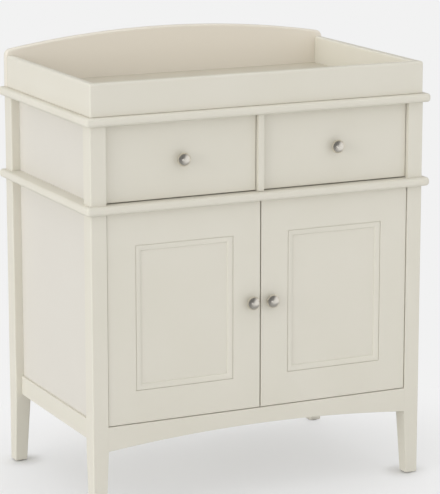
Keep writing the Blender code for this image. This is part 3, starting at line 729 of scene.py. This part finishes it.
class CHANGINGUNIT_OT_doors(bpy.types.Operator):
    """Makes both doors: a seamless frame, a recessed panel with its bead, pins and strikes"""
    bl_idname = "changing_unit.doors"
    bl_label = "Doors"

    def execute(self, context):
        sizes = context.scene.changing_unit_sizes
        for side, word in hands:
            body = f"{word}_door"
            parts = [f"{body}_{part}"
                     for part in ("meeting_stile", "hinge_stile", "top_rail", "bottom_rail")]
            mesh = skinned(f"{body}_frame", self.frame_rings(parts, sizes), joined=True)
            fit(f"{body}_frame", mesh, body, "sprayed", *parts)
            node = f"{body}_panel"
            fit(f"{node}_beaded", self.panel_rings(node, sizes), body, "sprayed", node)
            self.hardware(body)
        return {"FINISHED"}

    def frame_rings(self, parts, sizes):
        """The frame's section, a closed outline of (share of the way in, depth), carried round the
        door. A point stands in from the door's edge by its share of the stile's or the rail's
        width, plus an offset in metres where the section is rounded."""
        corners = np.array([place(part) for part in parts])
        low, high = corners[:, 0].min(0), corners[:, 1].max(0)
        widths = np.array([np.ptp(place(parts[0])[:, 0]), np.ptp(place(parts[2])[:, 2])])
        depth = high[1] - low[1]
        radii = (sizes.front_edge, sizes.fine_edge, sizes.fine_edge, sizes.front_edge)
        outer = rounded_outline(rectangle((0.0, 0.0), (1.0, depth)), radii)
        share = np.where(outer[:, 0] > 0.5, 1.0, 0.0)
        offset = outer[:, 0] - share
        return nested(low, high, share[:, None] * widths + offset[:, None], low[1] + outer[:, 1])

    def panel_rings(self, node, sizes):
        """Nested rectangles from the back of the panel to its middle. The bead between them is a
        quarter ellipse: in by the width times sin a, and forward by the height times cos a."""
        low, high = place(node)
        face = place(node.replace("panel", "top_rail"))[0, 1]
        back = high[1] - face
        turns = np.linspace(0, np.pi / 2, 2 * arc_steps + 1)
        width = sizes.bead_width - sizes.quirk_width
        height = sizes.panel_recess - sizes.bead_toe - sizes.bead_drop
        bead = np.stack([sizes.quirk_width + width * np.sin(turns),
                         sizes.panel_recess - sizes.bead_toe - height * np.cos(turns)], 1)
        section = np.vstack([[(0.0, back), (0.0, sizes.quirk_depth)],
                             [(sizes.quirk_width, sizes.quirk_depth)], bead,
                             [(sizes.bead_width, sizes.panel_recess)]])
        return nested(low, high, section[:, :1], face + section[:, 1])

    def hardware(self, body):
        """Turned pivot pins with rounded ends, and a strike plate with rounded corners."""
        tip, plate_edge, plate_corner = 0.0008, 0.0002, 0.002
        for level in ("lower", "upper"):
            node = f"{body}_{level}_pin"
            low, high = place(node)
            radius, reach = (high[0] - low[0]) / 2, high[2] - low[2]
            profile = np.vstack([[(0.0, 0.0)], quarter((radius - tip, tip), tip, -90, 0),
                                 quarter((radius - tip, reach - tip), tip, 0, 90), [(0.0, reach)]])
            spot = (*((low + high) / 2)[:2], low[2])
            fit(f"{node}_turned", turned(profile, spot, 2, 1, small_sides), body, "zinc", node)
        node = f"{body}_strike"
        low, high = place(node)
        corners = rectangle(low[[0, 2]], high[[0, 2]])
        rings = carried(corners, (low[1], high[1]), 1, plate_edge, plate_corner)
        fit(f"{node}_plate", rings, body, "zinc", node)


class CHANGINGUNIT_OT_knobs(bpy.types.Operator):
    """Makes the four turned knobs and the screws that hold them from inside"""
    bl_idname = "changing_unit.knobs"
    bl_label = "Knobs"

    def execute(self, context):
        sizes = context.scene.changing_unit_sizes
        screw_radius, screw_height, screw_gap = 0.0042, 0.0022, 0.0005
        for side, word in hands:
            for kind, front in (("drawer", "front"), ("door", "meeting_stile")):
                body = f"{word}_{kind}"
                node = f"{body}_knob"
                low, high = place(node)
                face, inside = place(f"{body}_{front}")[:, 1]
                x, z = (low[0] + high[0]) / 2, (low[2] + high[2]) / 2
                profile = self.profile(sizes, (high[0] - low[0]) / 2, face - low[1])
                strides = np.diff(profile, axis=0, prepend=profile[:1])
                reach = np.linalg.norm(strides, axis=1).cumsum()
                mesh = skinned(node, turned(profile, (x, face, z), 1, -1), reach=reach)
                fit(f"{node}_turned", mesh, body, "nickel", node)
                mesh = screw_heads([(x, inside + screw_gap, z)], 1, 1, screw_radius, screw_height)
                fit(f"{node}_screw", mesh, body, "zinc")
        return {"FINISHED"}

    def profile(self, sizes, radius, projection):
        """Half outline of the knob as (radius, distance in front of the face): a stepped base, a
        neck that sweeps in and out on quarter ellipses, a rounded rim and a domed head."""
        base, neck, lip = sizes.knob_base, sizes.knob_neck, 0.0012
        foot_inset, bead, bead_height, bead_start = 0.0005, 0.0008, 0.0018, -40
        neck_start, neck_end, rim = 0.0055, 0.0085, 0.0132
        head_steps, under_steps = 24, 14
        head = quarter((0, rim + lip), (radius, projection - rim - lip), 0, 90, head_steps)
        under = quarter((radius, neck_end), (neck - radius, rim - neck_end), 0, 90, under_steps)
        under[:, 0] = np.minimum(under[:, 0], radius - lip)
        edge = quarter((radius - lip, rim + lip), lip, -90, 0)
        sweep = (base - bead - neck, neck_start - bead_height - bead)
        return np.vstack([[(0.0, clearance), (base - foot_inset, clearance)],
                          quarter((base - bead, bead_height), bead, bead_start, 90),
                          quarter((base - bead, neck_start), sweep, -90, -180),
                          under[under[:, 0] < radius - lip], edge, head[1:]])


class CHANGINGUNIT_OT_tray(bpy.types.Operator):
    """Makes the changer tray: one seamless run of rails, an arched back rail and pegs, and paints
    the base
    """
    bl_idname = "changing_unit.tray"
    bl_label = "Changer tray"

    def execute(self, context):
        sizes = context.scene.changing_unit_sizes
        fit("changer_rails", self.rail_rings(sizes), "changer", "sprayed",
            "changer_front_rail", "changer_left_rail", "changer_right_rail")
        # The arched rail carries painted light: its inner face is painted paler than the rest.
        fit("changer_back_rail_arched", self.back_rings(sizes), "changer", "arched",
            "changer_back_rail")
        # The base gets a darker cream, as painted shade for the bottom of the tray.
        refinish(["changer_base"], "base")
        self.pegs()
        return {"FINISHED"}

    def rail_rings(self, sizes):
        """The rail's section, (distance in from the outer face, height), carried down the left
        side, along the front and up the right side. The plan's front corners are rounded
        outside."""
        front_low, front_high = place("changer_front_rail")
        rear = place("changer_left_rail")[1, 1]
        board = front_high[1] - front_low[1]
        radii = (sizes.tray_foot, sizes.fine_edge, sizes.tray_top, sizes.tray_top)
        section = rounded_outline(rectangle((0.0, front_low[2]), (board, front_high[2])), radii)
        plan = rectangle(front_low[:2], (front_high[0], rear))[[3, 0, 1, 2]]
        bends = (0.0, sizes.tray_corner, sizes.tray_corner, 0.0)
        paths = np.stack([rounded_outline(plan, bends, (inset, inset, inset, 0.0))
                          for inset in section[:, 0]])
        return stood(paths, 2, section[:, 1]).transpose(1, 0, 2)

    def back_rings(self, sizes):
        """The arched outline carried from front to back, with its upper rims rounded."""
        low, high = place("changer_back_rail")
        half, tray_end = high[0], high[2] - sizes.tray_arch
        start = 1.6 * sizes.tray_shoulder     # clear of the rounded shoulders
        x = np.linspace(half - start, start - half, arch_steps + 1)
        top = np.stack([x, arch(x, half, tray_end, high[2])], 1)
        corners = np.vstack([[(-half, low[2]), (half, low[2]), (half, tray_end)], top,
                             [(-half, tray_end)]])
        radii = np.zeros(len(corners))
        radii[[2, -1]] = sizes.tray_shoulder
        eased = np.ones(len(corners))
        eased[[0, 1, -1]] = sizes.fine_edge / sizes.tray_top
        return carried(corners, (low[1], high[1]), 1, sizes.tray_top, radii, eased)

    def pegs(self):
        """Four dowels with chamfered ends, in the underside of the side rails."""
        radius, chamfer = 0.004, 0.001
        bottom, root = place("changer_left_rail")[0, 2], place("changer_front_rail")[0, 2] + chamfer
        profile = ((0.0, bottom), (radius - chamfer, bottom), (radius, bottom + chamfer),
                   (radius, root), (0.0, root))
        shells = np.stack([turned(profile, (side * peg_distance(), y, 0.0), 2, 1, small_sides)
                           for side in (left, right) for y in peg_rows()])
        fit("changer_pegs", shells, "changer", "peg")


def peg_rows():
    """Where the tray's pegs stand from front to back, 80 mm from each end."""
    inset = 0.080
    return place("changer_front_rail")[0, 1] + inset, place("changer_back_rail")[1, 1] - inset


def peg_distance():
    """Distance of the tray's pegs from the middle."""
    return place("changer_right_rail")[:, 0].mean()


class CHANGINGUNIT_OT_stage(bpy.types.Operator):
    """Sets out the studio: a pale floor, soft lamps, the world and the camera"""
    bl_idname = "changing_unit.stage"
    bl_label = "Studio"

    def execute(self, context):
        scene = context.scene
        scene.view_settings.view_transform = "Standard"
        pale = scene.changing_unit_finishes.floor
        self.floor(pale)
        self.world(scene, pale)
        self.lamps()
        self.camera(scene)
        return {"FINISHED"}

    def seen(self, tree, share, kinds=("Is Camera Ray", "Is Glossy Ray", "Is Transmission Ray")):
        """The given share for the named kinds of ray, and none for the rest."""
        path, total = add(tree, "LightPath"), 0.0
        for kind in kinds:
            total = add(tree, "Math", total, path.outputs[kind], operation="MAXIMUM")
        return add(tree, "Math", total, share, operation="MULTIPLY")

    def dimmed(self, tree, shader, share):
        """A shader that metal and gloss see with the given share of black, as a dark room beyond
        the lamps."""
        black = add(tree, "Emission", linear("#000000"), 0.0)
        return add(tree, "MixShader", self.seen(tree, share, ("Is Glossy Ray",)), shader, black)

    def shadowed(self, tree, where, reach, share):
        """A share that falls to nothing towards the right front, where a window would be."""
        window = (0.85, -0.4, -0.35)
        toward = add(tree, "VectorMath", where, window, operation="DOT_PRODUCT")
        return add(tree, "MapRange", toward, *reach, share, 0.0, interpolation_type="SMOOTHSTEP")

    def floor(self, pale):
        """A level square of 160 m. Beneath the unit the paper is seen half by its own light, which
        grows to full a step away, so that the shadow fades into white."""
        reach = 80.0
        points = np.insert(rectangle((-reach, -reach), (reach, reach)), 2, 0.0, axis=1)
        mesh = bpy.data.meshes.new("floor")
        mesh.from_pydata(points.tolist(), [], [(0, 1, 2, 3)])
        floor = scene_object("studio_floor", mesh)
        material, tree = started("Matt studio paper")
        # The two distances between which a share changes, and its value at each.
        own_light, foot_shadow = (0.38, 0.98, 0.48, 1.0), (0.02, 0.07, 0.0, 1.0)
        dark_room, window_reach, window_share = (0.9, 1.9, 0.56, 0.0), (-0.5, 1.5), 0.72
        where = add(tree, "TexCoord").outputs["Object"]
        # Distance from the unit's middle, on an oval that is shorter from front to back.
        oval = add(tree, "VectorMath", where, (1.0, 1.3, 0.0), operation="MULTIPLY")
        away = add(tree, "VectorMath", oval, operation="LENGTH")
        nearest_foot = 1.0
        for post in ("front_left_post", "front_right_post", "rear_left_post"):
            foot = (*place(post).mean(0)[:2], 0.0)
            gap = add(tree, "VectorMath", where, foot, operation="DISTANCE")
            nearest_foot = add(tree, "Math", nearest_foot, gap, operation="MINIMUM")
        light = add(tree, "MapRange", away, *own_light, interpolation_type="SMOOTHSTEP")
        edge = add(tree, "MapRange", nearest_foot, *foot_shadow, interpolation_type="SMOOTHSTEP")
        room = add(tree, "MapRange", away, *dark_room, interpolation_type="SMOOTHSTEP")
        share = add(tree, "Math", light, edge, operation="MULTIPLY")
        paper = add(tree, "BsdfDiffuse", linear("#ECECEC"))
        lit = add(tree, "MixShader", self.seen(tree, share), paper, add(tree, "Emission", pale))
        dark = add(tree, "Math", room, self.shadowed(tree, where, window_reach, window_share),
                   operation="MAXIMUM")
        add(tree, "OutputMaterial", self.dimmed(tree, lit, dark))
        mesh.materials.append(material)

    def world(self, scene, pale):
        """Even light from all round, and the pale background where camera and metal look."""
        world = bpy.data.worlds.new("Studio")
        world.use_nodes = True
        scene.world = world
        tree = world.node_tree
        tree.nodes.clear()
        ambient_strength, window_reach, window_share = 0.89, (0.15, 0.75), 0.8
        ambient = add(tree, "Background", linear("#FFFFFF"), ambient_strength)
        backdrop = add(tree, "Background", pale, 1.0)
        mixed = add(tree, "MixShader", self.seen(tree, 1.0), ambient, backdrop)
        where = add(tree, "TexCoord").outputs["Object"]
        dark = self.shadowed(tree, where, window_reach, window_share)
        add(tree, "OutputWorld", self.dimmed(tree, mixed, dark))

    def lamps(self):
        """Far lamps with wide discs, so that the light is even over the floor and shadows are soft:
        each has its aim, its strength and its width in degrees."""
        stand_off = 3
        for name, aim, strength, spread in (("top_lamp", (0.1, 0.1, -1.0), 0.2, 50.0),
                                            ("front_lamp", (0.28, 0.96, 0.0), 0.12, 13.0),
                                            ("left_lamp", (0.97, 0.19, -0.11), 1.37, 40.0)):
            lamp = bpy.data.lights.new(name, "SUN")
            lamp.energy = strength
            lamp.angle = np.radians(spread)
            holder = scene_object(name, lamp)
            holder.rotation_euler = Vector(aim).to_track_quat("-Z", "Y").to_euler()
            holder.location = -stand_off * Vector(aim)
            # Only this one is mirrored in the knobs, as their small highlight.
            holder.visible_glossy = name == "front_lamp"

    def camera(self, scene):
        """The photograph's view: a long lens, 6 m away, turned to the right and tilted down."""
        data = bpy.data.cameras.new("camera")
        data.sensor_width = 36.0
        data.lens = 178.77
        data.clip_end = 400.0
        holder = scene_object("camera", data)
        turn, tilt = np.radians((25.608, 12.277))
        aim = Vector((np.sin(turn) * np.cos(tilt), np.cos(turn) * np.cos(tilt), -np.sin(tilt)))
        holder.location = (-2.4484, -5.1412, 1.7832)
        holder.rotation_euler = aim.to_track_quat("-Z", "Y").to_euler()
        scene.camera = holder


class CHANGINGUNIT_PT_sidebar(bpy.types.Panel):
    """Lists the sizes, the finishes and the steps"""
    bl_idname = "CHANGINGUNIT_PT_sidebar"
    bl_label = "Changing Unit"
    bl_space_type = "VIEW_3D"
    bl_region_type = "UI"
    bl_category = "Changing Unit"

    def draw(self, context):
        for group in (context.scene.changing_unit_sizes, context.scene.changing_unit_finishes):
            column = self.layout.column(align=True)
            for name in group.__annotations__:
                column.prop(group, name)
        column = self.layout.column()
        for step in steps:
            column.operator(step.bl_idname)


steps = (CHANGINGUNIT_OT_boards, CHANGINGUNIT_OT_posts, CHANGINGUNIT_OT_rails,
         CHANGINGUNIT_OT_inside, CHANGINGUNIT_OT_drawers, CHANGINGUNIT_OT_doors,
         CHANGINGUNIT_OT_knobs, CHANGINGUNIT_OT_tray, CHANGINGUNIT_OT_stage)
classes = (ChangingUnitSizes, ChangingUnitFinishes, *steps, CHANGINGUNIT_PT_sidebar)


def register():
    for kind in classes:
        bpy.utils.register_class(kind)
    bpy.types.Scene.changing_unit_sizes = PointerProperty(type=ChangingUnitSizes)
    bpy.types.Scene.changing_unit_finishes = PointerProperty(type=ChangingUnitFinishes)


def unregister():
    del bpy.types.Scene.changing_unit_finishes
    del bpy.types.Scene.changing_unit_sizes
    for kind in reversed(classes):
        bpy.utils.unregister_class(kind)


def main():
    register()
    bpy.ops.changing_unit.boards()
    bpy.ops.changing_unit.posts()
    bpy.ops.changing_unit.rails()
    bpy.ops.changing_unit.inside()
    bpy.ops.changing_unit.drawers()
    bpy.ops.changing_unit.doors()
    bpy.ops.changing_unit.knobs()
    bpy.ops.changing_unit.tray()
    bpy.ops.changing_unit.stage()


if __name__ == "__main__":
    main()
